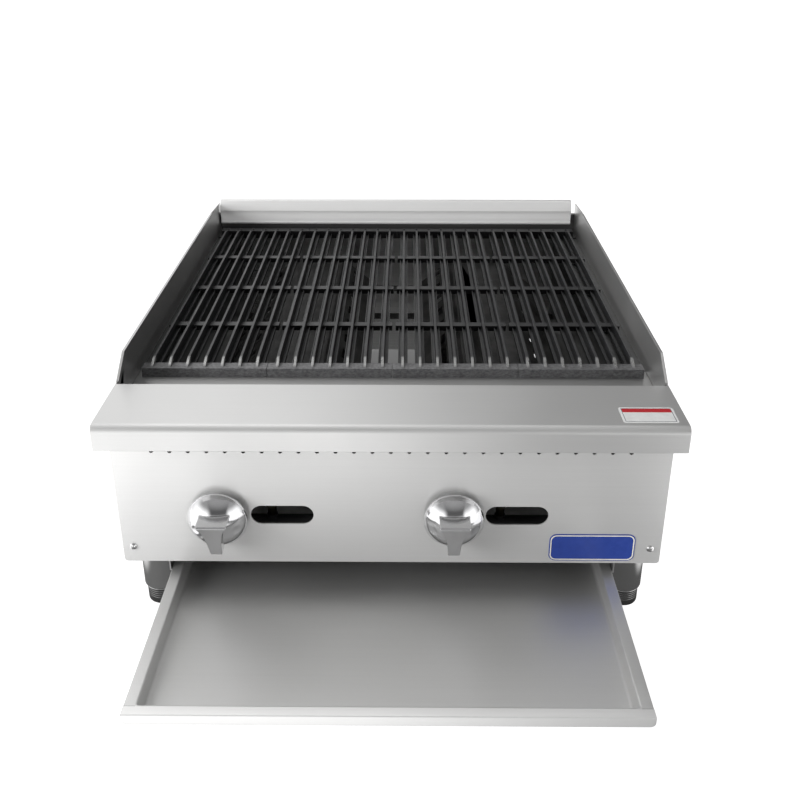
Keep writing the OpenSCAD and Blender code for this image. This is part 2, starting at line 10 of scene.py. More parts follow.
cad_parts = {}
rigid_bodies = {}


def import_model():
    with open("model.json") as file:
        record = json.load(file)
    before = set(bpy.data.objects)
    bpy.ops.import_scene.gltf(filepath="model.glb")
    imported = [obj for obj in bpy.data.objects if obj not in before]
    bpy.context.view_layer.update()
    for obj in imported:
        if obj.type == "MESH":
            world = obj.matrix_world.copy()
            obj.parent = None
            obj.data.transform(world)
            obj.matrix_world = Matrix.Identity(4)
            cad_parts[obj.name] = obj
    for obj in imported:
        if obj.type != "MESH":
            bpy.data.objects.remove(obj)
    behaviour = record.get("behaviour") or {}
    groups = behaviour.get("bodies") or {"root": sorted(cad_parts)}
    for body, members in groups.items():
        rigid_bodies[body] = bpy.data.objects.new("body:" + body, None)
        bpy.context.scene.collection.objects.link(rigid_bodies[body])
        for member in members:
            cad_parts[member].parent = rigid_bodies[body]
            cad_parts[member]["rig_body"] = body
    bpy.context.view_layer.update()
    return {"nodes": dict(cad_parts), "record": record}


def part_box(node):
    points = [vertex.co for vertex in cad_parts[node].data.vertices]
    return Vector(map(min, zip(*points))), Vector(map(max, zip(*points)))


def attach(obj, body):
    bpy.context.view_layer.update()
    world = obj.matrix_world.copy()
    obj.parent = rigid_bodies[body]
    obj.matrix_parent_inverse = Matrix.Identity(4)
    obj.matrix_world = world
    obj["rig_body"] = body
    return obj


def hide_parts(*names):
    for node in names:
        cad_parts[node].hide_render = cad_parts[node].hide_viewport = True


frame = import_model()
MM = 0.001
SMEAR = 0.03  # how much smears dull polished metal
STAGE_HALF = 14  # metres
BACKDROP_RADIUS = 12  # metres
THREADS_PER_INCH = 14
INCH = 25.4 * MM


# ---------------------------------------------------------------- materials

class Paint:
    """A Principled material, with short calls that add procedural nodes to it."""

    def __init__(self, name, colour, metallic=0.0, roughness=0.5, **sockets):
        self.material = bpy.data.materials.new(name)
        self.material.use_nodes = True
        self.tree = self.material.node_tree
        self.bsdf = self.tree.nodes["Principled BSDF"]
        self.place = self.add("ShaderNodeTexCoord").outputs["Object"]
        self.bsdf.inputs["Base Color"].default_value = (*colour, 1)
        self.bsdf.inputs["Metallic"].default_value = metallic
        self.bsdf.inputs["Roughness"].default_value = roughness
        for socket, value in sockets.items():
            self.bsdf.inputs[socket.replace("_", " ")].default_value = value
        self.height = None

    def add(self, kind, links=None, values=None, **properties):
        """A node with its properties, input values and incoming links set."""
        node = self.tree.nodes.new(kind)
        for key, value in properties.items():
            setattr(node, key, value)
        for socket, value in (values or {}).items():
            node.inputs[socket].default_value = value
        for socket, source in (links or {}).items():
            self.tree.links.new(source, node.inputs[socket])
        return node

    def noise(self, stretch, detail=3.0, rough=0.55):
        """Noise from 0 to 1, with stretch cycles per metre along X, Y and Z."""
        mapped = self.add("ShaderNodeMapping", {"Vector": self.place}, {"Scale": stretch})
        noise = self.add(
            "ShaderNodeTexNoise",
            {"Vector": mapped.outputs["Vector"]},
            {"Scale": 1.0, "Detail": detail, "Roughness": rough},
        )
        return noise.outputs["Fac"]

    def axis(self, name):
        """The place along one axis, in metres."""
        return self.add("ShaderNodeSeparateXYZ", {"Vector": self.place}).outputs[name]

    def span(self, source, low, high, start=0.0, end=1.0, soft=False):
        """source, running from start to end, turned into low to high."""
        node = self.add(
            "ShaderNodeMapRange",
            {"Value": source},
            {"From Min": start, "From Max": end, "To Min": low, "To Max": high},
            interpolation_type="SMOOTHSTEP" if soft else "LINEAR",
        )
        return node.outputs["Result"]

    def combine(self, operation, a, b):
        node = self.add("ShaderNodeMath", operation=operation)
        for socket, value in ((0, a), (1, b)):
            if isinstance(value, (int, float)):
                node.inputs[socket].default_value = value
            else:
                self.tree.links.new(value, node.inputs[socket])
        return node.outputs["Value"]

    def blend(self, factor, a, b):
        """Colour a to colour b; each is a socket or a triple."""
        node = self.add("ShaderNodeMix", data_type="RGBA")
        self.tree.links.new(factor, node.inputs[0])
        for socket, value in ((6, a), (7, b)):
            if isinstance(value, tuple):
                node.inputs[socket].default_value = (*value, 1)
            else:
                self.tree.links.new(value, node.inputs[socket])
        return node.outputs[2]

    def colour(self, source):
        self.tree.links.new(source, self.bsdf.inputs["Base Color"])

    def rough(self, source):
        self.tree.links.new(source, self.bsdf.inputs["Roughness"])

    def bump(self, source, distance):
        """Adds height, in metres, on top of the bumps before."""
        links = {"Height": source}
        if self.height is not None:
            links["Normal"] = self.height
        node = self.add("ShaderNodeBump", links, {"Distance": distance, "Strength": 1.0})
        self.height = node.outputs["Normal"]
        self.tree.links.new(self.height, self.bsdf.inputs["Normal"])

    def grain(self, axis):
        """Stretches highlights across a grain that runs along axis."""
        tangent = self.add("ShaderNodeTangent", direction_type="RADIAL", axis=axis)
        self.tree.links.new(tangent.outputs["Tangent"], self.bsdf.inputs["Tangent"])


def along(axis, slow, fast):
    """Noise cycles per metre for streaks that run along axis."""
    return tuple(slow if name == axis else fast for name in "XYZ")


def brushed_steel(name, shade, roughness, axis, streak=0.015, aniso=0.6, metal=0.68):
    """Brushed stainless: fine streaks along axis in colour, gloss and height, and faint smudges."""
    tint = (shade, shade * 0.998, shade * 0.99)
    paint = Paint(name, tint, metal, roughness, Anisotropic=aniso)
    fine = paint.noise(along(axis, 14, 1900), 4.0)
    wide = paint.noise(along(axis, 4, 330), 3.0)
    smudge = paint.noise((9, 9, 9), 5.0)
    streaks = paint.combine("ADD", paint.span(fine, 0, 0.5), paint.span(wide, 0, 0.5))
    dark = tuple(c * (1 - streak) for c in tint)
    light = tuple(min(c * (1 + streak), 1.0) for c in tint)
    paint.colour(paint.blend(paint.span(streaks, 0, 1, 0.35, 0.65), dark, light))
    gloss = paint.combine(
        "ADD",
        paint.span(streaks, roughness - 0.02, roughness + 0.02, 0.3, 0.7),
        paint.span(smudge, -0.02, 0.03, 0.35, 0.7),
    )
    paint.rough(gloss)
    paint.bump(fine, 0.000002)
    paint.grain(axis)
    return paint


def cast_iron(name, dark, light, roughness, coat=0.0, front_tint_and_highlight=None):
    """Black cast iron: sand texture and uneven sheen; on a grate, a lighter speckled grey over its front 14
    mm, and a painted highlight of light metallic grey on its ridges' front tips.
    """
    paint = Paint(
        name, light, 0.0, roughness,
        Specular_IOR_Level=0.65, Coat_Weight=coat, Coat_Roughness=0.25,
    )
    sand = paint.noise((900, 900, 900), 4.0, 0.6)
    lumps = paint.noise((170, 170, 170), 3.0)
    patches = paint.noise((22, 22, 22), 5.0)
    colour = paint.blend(paint.span(patches, 0, 1, 0.35, 0.68), dark, light)
    gloss = paint.combine(
        "ADD",
        paint.span(patches, roughness - 0.09, roughness + 0.1, 0.3, 0.7),
        paint.span(sand, -0.06, 0.08, 0.3, 0.7),
    )
    if front_tint_and_highlight:
        front, rail, highlight_grey = front_tint_and_highlight
        # A lighter speckled grey over the grate's front 14 mm.
        speckles = paint.span(paint.noise((260, 260, 500), 4.0, 0.65), 0.35, 1.0, 0.35, 0.65)
        front_strip = paint.span(paint.axis("Y"), 1, 0, front + 14 * MM, front + 17 * MM)
        colour = paint.blend(paint.combine("MULTIPLY", front_strip, speckles), colour, (0.15, 0.15, 0.153))
        # Painted highlight: the ridges' sloping front tips, above the rail, turn light grey, metallic and
        # glossier.
        height = paint.axis("Z")
        reach = paint.axis("Y")
        tip = paint.span(reach, 1, 0, front + 13 * MM, front + 22 * MM)
        above = paint.span(height, 0, 1, rail, rail + 2 * MM)
        ridge = paint.combine("MULTIPLY", tip, above)
        tip_highlight = paint.combine("MULTIPLY", ridge, paint.span(lumps, 0.6, 1.0, 0.3, 0.6))
        colour = paint.blend(tip_highlight, colour, highlight_grey)
        paint.tree.links.new(paint.span(tip_highlight, 0.0, 0.9), paint.bsdf.inputs["Metallic"])
        gloss = paint.combine("SUBTRACT", gloss, paint.combine("MULTIPLY", tip_highlight, 0.1))
    paint.colour(colour)
    paint.rough(gloss)
    paint.bump(lumps, 0.0003)
    paint.bump(sand, 0.0001)
    return paint


def polished(name, colour, roughness):
    """Plated or polished metal with faint smears and hairline scratches."""
    paint = Paint(name, colour, 1.0, roughness)
    smear = paint.noise((60, 60, 25), 5.0)
    hair = paint.noise((500, 90, 2200), 3.0)
    low = tuple(c * 0.94 for c in colour)
    paint.colour(paint.blend(paint.span(smear, 0, 1, 0.35, 0.7), colour, low))
    paint.rough(paint.span(smear, roughness - SMEAR / 2, roughness + SMEAR, 0.3, 0.75))
    paint.bump(hair, 0.000003)
    return paint


def enamel(name, colour, roughness, coat=0.4):
    """Glossy enamel or printed film with faint mottling."""
    paint = Paint(name, colour, 0.0, roughness, Coat_Weight=coat, Coat_Roughness=0.12)
    mottle = paint.noise((140, 140, 140), 4.0)
    low = tuple(c * 0.88 for c in colour)
    paint.colour(paint.blend(paint.span(mottle, 0, 1, 0.3, 0.7), low, colour))
    paint.rough(paint.span(mottle, roughness - 0.05, roughness + 0.08, 0.3, 0.7))
    paint.bump(mottle, 0.00002)
    return paint


grate_low, grate_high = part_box("grate_1")
RAIL_TOP = grate_low[2] + 11.8 * MM

PAINTS = {
    "steel_x": brushed_steel("brushed_steel_across", 0.66, 0.34, "X", aniso=0.85, metal=0.74),
    # Painted light: the front panel's steel is lighter and less metallic than the steel across.
    "panel": brushed_steel("front_panel_steel_painted_light", 0.72, 0.36, "X", aniso=0.85, metal=0.60),
    "step": brushed_steel("shaded_step_steel", 0.44, 0.36, "X", aniso=0.85, metal=0.82),
    # Painted shade: the lengthways steel is darker than the steel across, for the shade on the splashes'
    # inner faces.
    "steel_y": brushed_steel("brushed_steel_lengthways", 0.56, 0.34, "Y", aniso=0.8, metal=0.92),
    # Painted light: the riser's steel is lighter and less metallic than the steel across, for the light on
    # the riser.
    "riser": brushed_steel("riser_steel_painted_light", 0.93, 0.34, "X", aniso=0.85, metal=0.38),
    "tray": brushed_steel("satin_tray_steel", 0.71, 0.46, "X", aniso=0.0, metal=0.88),
    # Painted light: the tray's lip is a lighter, less metallic copy of the tray steel.
    "lip": brushed_steel("tray_lip_painted_light", 0.74, 0.36, "X", metal=0.55),
    "shield": brushed_steel("bright_heat_shield", 0.62, 0.30, "X", streak=0.09),
    "sooty": brushed_steel("heat_darkened_steel", 0.13, 0.42, "X", streak=0.12),
    "radiant": cast_iron("radiant_cast_iron", (0.045, 0.044, 0.043), (0.15, 0.148, 0.145), 0.50),
    # Painted shade: the front heat shield is near black, for the dark seen through the pilot windows.
    "dark": brushed_steel("inner_shield_painted_shade", 0.045, 0.5, "X", streak=0.12),
    "grate": cast_iron(
        "grate_cast_iron", (0.008, 0.008, 0.009), (0.020, 0.020, 0.022), 0.40, coat=0.04,
        # the light grey is the painted highlight on the ridges' front tips
        front_tint_and_highlight=(grate_low[1], RAIL_TOP, (0.62, 0.62, 0.61)),
    ),
    "iron": cast_iron("burner_cast_iron", (0.022, 0.021, 0.020), (0.055, 0.052, 0.050), 0.60),
    "chrome": polished("knob_chrome", (0.74, 0.74, 0.75), 0.10),
    "leg": brushed_steel("polished_leg_tube", 0.62, 0.13, "Z", aniso=0.0, metal=1.0),
    # Painted shade: the feet are a darker copy of the leg steel.
    "foot": brushed_steel("foot_steel_painted_shade", 0.22, 0.22, "Z", aniso=0.0, metal=1.0),
    "screw": polished("bright_screw_plating", (0.80, 0.80, 0.80), 0.16),
    "brass": polished("machined_brass", (0.72, 0.52, 0.22), 0.26),
    # Painted shade: the pilot valves are near-black brass, for the dark seen through the pilot windows.
    "shade_dark_brass": polished("inner_brass_painted_shade", (0.035, 0.030, 0.022), 0.5),
    "aluminium": polished("drawn_aluminium", (0.78, 0.79, 0.80), 0.30),
    "pipe": cast_iron("black_steel_pipe", (0.020, 0.020, 0.021), (0.038, 0.038, 0.040), 0.45),
    "blue": enamel("blue_enamel", (0.018, 0.050, 0.29), 0.18),
    "cream": enamel("cream_enamel", (0.80, 0.77, 0.66), 0.25),
    "film": enamel("white_film", (0.80, 0.81, 0.80), 0.5, 0.05),
    "red": enamel("red_film", (0.52, 0.006, 0.014), 0.5, 0.05),
    "ink": enamel("dark_ink_film", (0.012, 0.014, 0.045), 0.5, 0.05),
}


# ---------------------------------------------------------------- mesh helpers

def piece(name, mesh, paint, body, *nodes, at=(0, 0, 0)):
    """An object from a mesh or bmesh, painted, riding on body and standing for the CAD nodes."""
    if isinstance(mesh, bmesh.types.BMesh):
        data = bpy.data.meshes.new(name)
        bmesh.ops.recalc_face_normals(mesh, faces=mesh.faces)
        mesh.to_mesh(data)
        mesh.free()
    else:
        data = mesh
    obj = bpy.data.objects.new(name, data)
    obj.location = at
    bpy.context.scene.collection.objects.link(obj)
    data.materials.clear()
    data.materials.append(PAINTS[paint].material)
    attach(obj, body)
    if nodes:
        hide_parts(*nodes)
    return obj


def settle(obj):
    """Applies the object's modifiers to its mesh."""
    graph = bpy.context.evaluated_depsgraph_get()
    done = bpy.data.meshes.new_from_object(obj.evaluated_get(graph), depsgraph=graph)
    obj.modifiers.clear()
    old = obj.data
    obj.data = done
    done.name = obj.name
    if old.users == 0:
        bpy.data.meshes.remove(old)
    return obj


def round_edges(obj, width, segments=2):
    """Rounds the sharp edges of obj by width metres and evens out its shading."""
    for polygon in obj.data.polygons:
        polygon.use_smooth = True
    bevel = obj.modifiers.new("round", "BEVEL")
    bevel.width = width
    bevel.segments = segments
    bevel.limit_method = "ANGLE"
    bevel.angle_limit = math.radians(32)
    bevel.miter_outer = "MITER_ARC"
    normals = obj.modifiers.new("even", "WEIGHTED_NORMAL")
    normals.keep_sharp = True
    normals.weight = 80
    return settle(obj)


def body_of_node(node):
    return frame["nodes"][node]["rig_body"]


def clean_copy(node):
    """A welded bmesh of a CAD node, with flat faces joined."""
    mesh = bmesh.new()
    mesh.from_mesh(frame["nodes"][node].data)
    bmesh.ops.remove_doubles(mesh, verts=mesh.verts, dist=2e-6)
    bmesh.ops.dissolve_limit(mesh, angle_limit=math.radians(0.5), verts=mesh.verts, edges=mesh.edges)
    return mesh


def softened(node, paint, width):
    """The CAD node again with rounded edges and its finish."""
    obj = piece(node + "_shell", clean_copy(node), paint, body_of_node(node), node)
    return round_edges(obj, width)


def paint_node(node, paint):
    """Leaves the CAD node showing, with a better material."""
    obj = frame["nodes"][node]
    obj.data.materials.clear()
    obj.data.materials.append(PAINTS[paint].material)


def bridge(mesh, rows):
    """Quads between neighbouring closed rows of vertices; a row of one vertex is a pole."""
    for a, b in zip(rows, rows[1:]):
        count = max(len(a), len(b))
        for k in range(count):
            n = (k + 1) % count
            if len(a) == 1:
                mesh.faces.new((a[0], b[k], b[n]))
            elif len(b) == 1:
                mesh.faces.new((a[k], a[n], b[0]))
            else:
                mesh.faces.new((a[k], a[n], b[n], b[k]))


def lathe(profile, turns=56):
    """A bmesh turned about Z from (radius, height) pairs in millimetres."""
    mesh = bmesh.new()
    rows = []
    for radius, height in profile:
        if radius == 0:
            rows.append([mesh.verts.new((0, 0, height * MM))])
            continue
        angles = (2 * math.pi * k / turns for k in range(turns))
        rows.append([
            mesh.verts.new((radius * MM * math.cos(a), radius * MM * math.sin(a), height * MM))
            for a in angles
        ])
    bridge(mesh, rows)
    return mesh


def arc(centre, radius, start, end, steps=5):
    """Profile points on an arc, in millimetres and degrees."""
    angles = (math.radians(start + (end - start) * k / steps) for k in range(steps + 1))
    return [(centre[0] + radius * math.cos(a), centre[1] + radius * math.sin(a)) for a in angles]


def rounded(width, height, corner, steps=6):
    """Outline of a rectangle with rounded corners about the origin, in millimetres."""
    points = []
    for quarter, (u, v) in enumerate(((1, 1), (-1, 1), (-1, -1), (1, -1))):
        centre = (u * (width / 2 - corner), v * (height / 2 - corner))
        points += arc(centre, corner, quarter * 90, quarter * 90 + 90, steps)
    return points


def slab(outline, low, high, place, hole=None, upright=False):
    """A bmesh prism from an outline in millimetres about place, which is in metres.

    Flat slabs rise from low to high; upright ones face the front and stand out from low to high.
    """
    mesh = bmesh.new()

    def row(points, level):
        spots = ((u, -level, v) if upright else (u, v, level) for u, v in points)
        return [mesh.verts.new(Vector(spot) * MM + Vector(place)) for spot in spots]

    loops = [row(outline, low), row(outline, high)]
    if hole:
        loops += [row(hole, high), row(hole, low)]
        bridge(mesh, loops + loops[:1])
    else:
        bridge(mesh, loops)
        mesh.faces.new(loops[0])
        mesh.faces.new(loops[1])
    return mesh


def middle(node):
    low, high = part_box(node)
    return [(a + b) / 2 for a, b in zip(low, high)]


def smooth(obj, angle=40):
    """Smooth shading with edges sharper than angle kept."""
    for polygon in obj.data.polygons:
        polygon.use_smooth = True
    obj.data.set_sharp_from_angle(angle=math.radians(angle))
    return obj


# ---------------------------------------------------------------- casing and grates

SOFT_NODES = {
    # node: (paint, edge radius in millimetres)
    "side_panel_left": ("steel_y", 0.5), "side_panel_right": ("steel_y", 0.5),
    "front_panel": ("panel", 0.6), "front_ledge": ("steel_x", 0.7), "rear_riser": ("riser", 0.6),
    "back_panel": ("steel_x", 0.4), "grate_rest_front": ("step", 0.6),
    "grate_rest_rear": ("sooty", 0.5), "heat_shield_rear": ("shield", 0.4),
    "grate_1": ("grate", 0.45), "grate_2": ("grate", 0.45),
    "grate_3": ("grate", 0.45), "grate_4": ("grate", 0.45),
    "radiant_left": ("radiant", 0.9), "radiant_right": ("radiant", 0.9),
}
PLAIN_NODES = {
    "firebox_liner_left": "sooty", "firebox_liner_right": "sooty", "heat_shield_front": "dark",
    "base_rail_left": "steel_y", "base_rail_right": "steel_y", "cross_rails": "steel_x",
    "tray_rail_left": "steel_y", "tray_rail_right": "steel_y",
    "radiant_rests": "sooty", "burner_rests": "sooty", "burner_left": "iron", "burner_right": "iron",
    "air_shutter_left": "screw", "air_shutter_right": "screw",
    "orifice_left": "brass", "orifice_right": "brass",
    "manifold_pipe": "pipe", "supply_pipe": "pipe", "valve_left": "brass", "valve_right": "brass",
    "valve_stem_left": "brass", "valve_stem_right": "brass",
    "pilot_valve_left": "shade_dark_brass", "pilot_valve_right": "shade_dark_brass",
    "pilot_tube_left": "aluminium", "pilot_tube_right": "aluminium",
    "pilot_burner_left": "sooty", "pilot_burner_right": "sooty", "leg_nuts": "screw",
}


def casing_and_grates():
    for node, (paint, radius) in SOFT_NODES.items():
        softened(node, paint, radius * MM)
    for node, paint in PLAIN_NODES.items():
        paint_node(node, paint)


# ---------------------------------------------------------------- knobs

def knobs():
    """Both chrome knobs: the CAD knob's shape as one smooth casting with a dimple in the grip."""
    low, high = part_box("knob_left")
    stem = middle("valve_stem_left")
    axis = Vector((stem[0], 0, stem[2]))
    mesh = clean_copy("knob_left")
    bmesh.ops.translate(mesh, verts=mesh.verts, vec=-axis)
    left = piece("knob_left_casting", mesh, "chrome", "knob_left", "knob_left", at=axis)
    cast = left.modifiers.new("cast", "REMESH")
    cast.mode = "VOXEL"
    cast.voxel_size = 0.55 * MM
    melt = left.modifiers.new("melt", "SMOOTH")
    melt.factor = 0.5
    melt.iterations = 5
    settle(left)
    face_y = low[1]
    dimple = Vector((0, face_y, 3 * MM))
    dimple_r = 2.2 * MM
    for vertex in left.data.vertices:
        away = (vertex.co - dimple).length / dimple_r
        if away < 1:
            vertex.co.y += 0.9 * MM * (1 - away * away)
    for polygon in left.data.polygons:
        polygon.use_smooth = True
    other = middle("valve_stem_right")
    place = (other[0], 0, other[2])
    piece("knob_right_casting", left.data, "chrome", "knob_right", "knob_right", at=place)


# ---------------------------------------------------------------- legs

def legs():
    """Turned legs with a bead at the lower end, and grooved feet on threaded studs."""
    leg_profile = [(0, 38), (8.2, 38), (8.2, 22.5), (8.7, 22), (18.4, 22)]
    leg_profile += arc((19.0, 22.8), 0.8, -90, 90, 6)
    leg_profile += [(18.9, 24.1), (19.0, 24.4)]
    leg_profile += arc((19.4, 26.0), 1.6, -80, 0, 6)
    leg_profile += [(21, 30), (21, 92), (21, 95.5), (20.6, 96), (8, 96), (8, 106), (0, 106)]
    foot_profile = [(0, 0), (15.4, 0)]
    foot_profile += arc((15.4, 3.1), 3.1, -90, -10, 6)
    foot_profile += [(18.5, 7)]
    for groove in (10, 13, 16, 19):
        foot_profile += [(18.5, groove - 0.5), (18.15, groove), (18.5, groove + 0.5)]
    foot_profile += [(18.5, 21.4), (18.0, 21.9), (8.0, 21.9)]
    pitch = 1.5
    for turn in range(34):
        foot_profile += [(7.95, 23 + turn * pitch), (7.3, 23.75 + turn * pitch)]
    foot_profile += [(7.0, 74.6), (0, 75)]
    leg_mesh = foot_mesh = None
    for row in ("front", "rear"):
        for side in ("left", "right"):
            spot = f"{row}_{side}"
            x, y, _ = middle("leg_" + spot)
            place = (x, y, 0)
            leg_mesh = leg_mesh or lathe(leg_profile)
            foot_mesh = foot_mesh or lathe(foot_profile)
            leg = piece(f"leg_{spot}_tube", leg_mesh, "leg", "casing", "leg_" + spot, at=place)
            foot_node = "foot_" + spot
            foot = piece(foot_node + "_pad", foot_mesh, "foot", foot_node, foot_node, at=place)
            leg_mesh, foot_mesh = leg.data, foot.data
            smooth(leg)
            smooth(foot)


# ---------------------------------------------------------------- screws

def cross_head(radius, height):
    """Mesh of a pan-head screw that faces the front, with a cross recess."""
    profile = [(0, -1), (radius * 0.6, -1), (radius * 0.6, 0), (radius - 0.25, 0), (radius, 0.3)]
    profile += [
        (radius * math.sin(a), 0.3 + (height - 0.3) * math.cos(a))
        for a in (1.35, 1.1, 0.85, 0.6, 0.35)
    ]
    profile += [(0, height)]
    head = bpy.data.objects.new("head", bpy.data.meshes.new("head"))
    body = lathe(profile, 32)
    bmesh.ops.recalc_face_normals(body, faces=body.faces)
    body.to_mesh(head.data)
    body.free()
    slot = radius * 0.62
    slim = radius * 0.11
    outline = [
        (slim, slim), (slim, slot), (-slim, slot), (-slim, slim), (-slot, slim), (-slot, -slim),
        (-slim, -slim), (-slim, -slot), (slim, -slot), (slim, -slim), (slot, -slim), (slot, slim),
    ]
    cutter = bpy.data.objects.new("cutter", bpy.data.meshes.new("cutter"))
    cross = slab(outline, height * 0.45, height + 1, (0, 0, 0))
    bmesh.ops.recalc_face_normals(cross, faces=cross.faces)
    cross.to_mesh(cutter.data)
    cross.free()
    for obj in (head, cutter):
        bpy.context.scene.collection.objects.link(obj)
    cut = head.modifiers.new("cut", "BOOLEAN")
    cut.object = cutter
    cut.operation = "DIFFERENCE"
    settle(head)
    result = head.data
    for obj in (head, cutter):
        bpy.data.objects.remove(obj)
    result.transform(Matrix.Rotation(math.radians(90), 4, "X"))
    return result


def screws(name, node, radius, height, places):
    """One piece with a screw head at each (point, turn about Z in degrees)."""
    head = cross_head(radius, height)
    mesh = bmesh.new()
    for number, (point, turn) in enumerate(places):
        copy = head.copy()
        twist = Matrix.Rotation(math.radians(17 + 41 * number), 4, "Y")
        copy.transform(Matrix.Translation(point) @ Matrix.Rotation(math.radians(turn), 4, "Z") @ twist)
        mesh.from_mesh(copy)
        bpy.data.meshes.remove(copy)
    bpy.data.meshes.remove(head)
    return smooth(piece(name, mesh, "screw", "casing", node), 30)


def all_screws():
    low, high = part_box("panel_screws")
    face_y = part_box("front_panel")[0][1]
    z = (low[2] + high[2]) / 2
    reach = high[0] - 4.5 * MM
    places = [((side * reach, face_y, z), 0) for side in (-1, 1)]
    screws("panel_screw_heads", "panel_screws", 4.5, 2.6, places)
    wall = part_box("side_panel_right")[1][0]
    low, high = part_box("side_screws")
    front = low[1] + 4 * MM
    foot = low[2] + 4 * MM
    spots = [(0, 0), (290, 0), (580, 0), (600, 70), (600, 150)]
    places = [
        ((side * wall, front + along_y * MM, foot + up * MM), side * 90)
        for side in (-1, 1) for along_y, up in spots
    ]
    screws("side_screw_heads", "side_screws", 4, 2.2, places)


# ---------------------------------------------------------------- plates

def nameplate():
    """Blank blue plate with a cream line inside its edge."""
    face_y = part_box("front_panel")[0][1]
    x, _, z = middle("nameplate")
    place = (x, face_y, z)
    plate = slab(rounded(97, 36, 8), 0, 0.85, place, upright=True)
    round_edges(piece("nameplate_blue", plate, "blue", "casing", "nameplate"), 0.35 * MM)
    line = slab(rounded(94.6, 33.6, 7), 0.6, 1.1, place, hole=rounded(92, 31, 5.8), upright=True)
    round_edges(piece("nameplate_line", line, "cream", "casing"), 0.15 * MM)
    field = slab(rounded(91.8, 30.8, 5.7), 0.6, 1.02, place, upright=True)
    round_edges(piece("nameplate_field", field, "blue", "casing"), 0.3 * MM, 3)


def caution_plate():
    """Blank white film with a dark line inside its edge and a plain red band."""
    x, y, _ = middle("caution_plate")
    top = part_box("caution_plate")[0][2]

    place = (x, y, top)
    film = slab(rounded(57, 32, 3), 0, 0.2, place)
    smooth(piece("sticker_film", film, "film", "casing", "caution_plate"))
    line = slab(rounded(52.4, 27.6, 0.6, 2), 0.15, 0.26, place, hole=rounded(51.4, 26.6, 0.4, 2))
    smooth(piece("sticker_frame", line, "ink", "casing"))
    band = slab(rounded(51, 7.6, 0.4, 2), 0.15, 0.28, (x, y + 9.3 * MM, top))
    smooth(piece("sticker_band", band, "red", "casing"))


# ---------------------------------------------------------------- drip tray

def drip_tray():
    """Pressed pan with rolled inner edges, a fillet round its floor and a folded front lip."""
    (left, front, low), (right, back, top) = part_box("drip_tray")
    sheet = 1.5 * MM
    rim = 12 * MM
    floor_z = low + sheet
    half_w = (right - left) / 2
    mesh = bmesh.new()
    # (distance in from the outer edge, height, corner radius)
    rings = [(0.5 * MM, top - sheet, 1.0 * MM), (0.1 * MM, top - 1.2 * MM, 1.4 * MM)]
    rings += [(0, top - 0.7 * MM, 1.5 * MM), (0.2 * MM, top - 0.2 * MM, 1.3 * MM)]
    rings += [(0.7 * MM, top, 1.0 * MM)]
    rings += [(rim - 1.0 * MM, top, 3.6 * MM)]
    rings += [
        (rim - 1.0 * MM + 1.8 * MM * math.sin(a), top - 1.8 * MM * (1 - math.cos(a)), 3.4 * MM)
        for a in (0.4, 0.8, 1.2, math.pi / 2)
    ]
    wall = rim + 0.8 * MM
    fillet = 3.2 * MM
    rings += [
        (wall + 0.4 * MM + fillet * (1 - math.cos(a)), floor_z + fillet * (1 - math.sin(a)), 3.2 * MM)
        for a in (0, 0.35, 0.7, 1.05, 1.35, math.pi / 2)
    ]
    rows = []
    for inset, z, corner in rings:
        front_y = front + max(inset, sheet)
        back_y = back - inset
        outline = rounded(2 * (half_w - inset) / MM, (back_y - front_y) / MM, corner / MM, 5)
        centre_y = (front_y + back_y) / 2
        rows.append([mesh.verts.new((u * MM, centre_y + v * MM, z)) for u, v in outline])
    bridge(mesh, rows)
    mesh.faces.new(rows[-1])
    pan = piece("drip_tray_pan", mesh, "tray", "drip_tray", "drip_tray")
    for polygon in pan.data.polygons:
        polygon.use_smooth = True
    shell = pan.modifiers.new("sheet", "SOLIDIFY")
    shell.thickness = sheet * 0.98
    shell.offset = -1
    normals = pan.modifiers.new("even", "WEIGHTED_NORMAL")
    normals.weight = 80
    normals.keep_sharp = True
    settle(pan)
    tray_lip(left, right, front, top, sheet)
    for side, name in ((-1, "left"), (1, "right")):
        place = (side * (half_w - rim / 2), front + rim - 0.8 * MM, top)
        seam = slab(rounded(rim / MM - 1, 0.3, 0.1, 1), -0.2, 0.02, place)
        piece("drip_tray_seam_" + name, seam, "sooty", "drip_tray")


def tray_lip(left, right, front, top, sheet):
    """The front rim's strip, folded down in front as a lip with rounded lower corners."""
    drop = 12 * MM
    rim = 11 * MM
    corner = 5 * MM
    fold = 1.6 * MM
    columns = [0, 0.08, 0.2, 0.4, 0.65, 1.0]
    xs = [left + corner * k for k in columns] + [right - corner * k for k in reversed(columns)]
    mesh = bmesh.new()
    rows = []
    for x in xs:
        edge = min(x - left, right - x)
        rise = corner - math.sqrt(max(corner ** 2 - (corner - min(edge, corner)) ** 2, 0))
        foot = top - drop + rise
        profile = [(rim, top - 0.1 * MM), (rim - 0.1 * MM, top + 0.02 * MM)]
        profile += [
            (fold * (1 - math.sin(a)), top + 0.02 * MM - fold * (1 - math.cos(a)))
            for a in (0, 0.4, 0.8, 1.2, math.pi / 2)
        ]
        profile += [(0, foot + 0.5 * MM), (0.15 * MM, foot + 0.15 * MM), (0.5 * MM, foot)]
        profile += [(sheet, foot), (sheet, top - sheet), (fold, top - 0.4 * MM)]
        rows.append([mesh.verts.new((x, front + y, z)) for y, z in profile])
    bridge(mesh, rows)
    mesh.faces.new(rows[0])
    mesh.faces.new(rows[-1])
    smooth(piece("drip_tray_lip", mesh, "lip", "drip_tray"), 50)


# ---------------------------------------------------------------- gas inlet thread

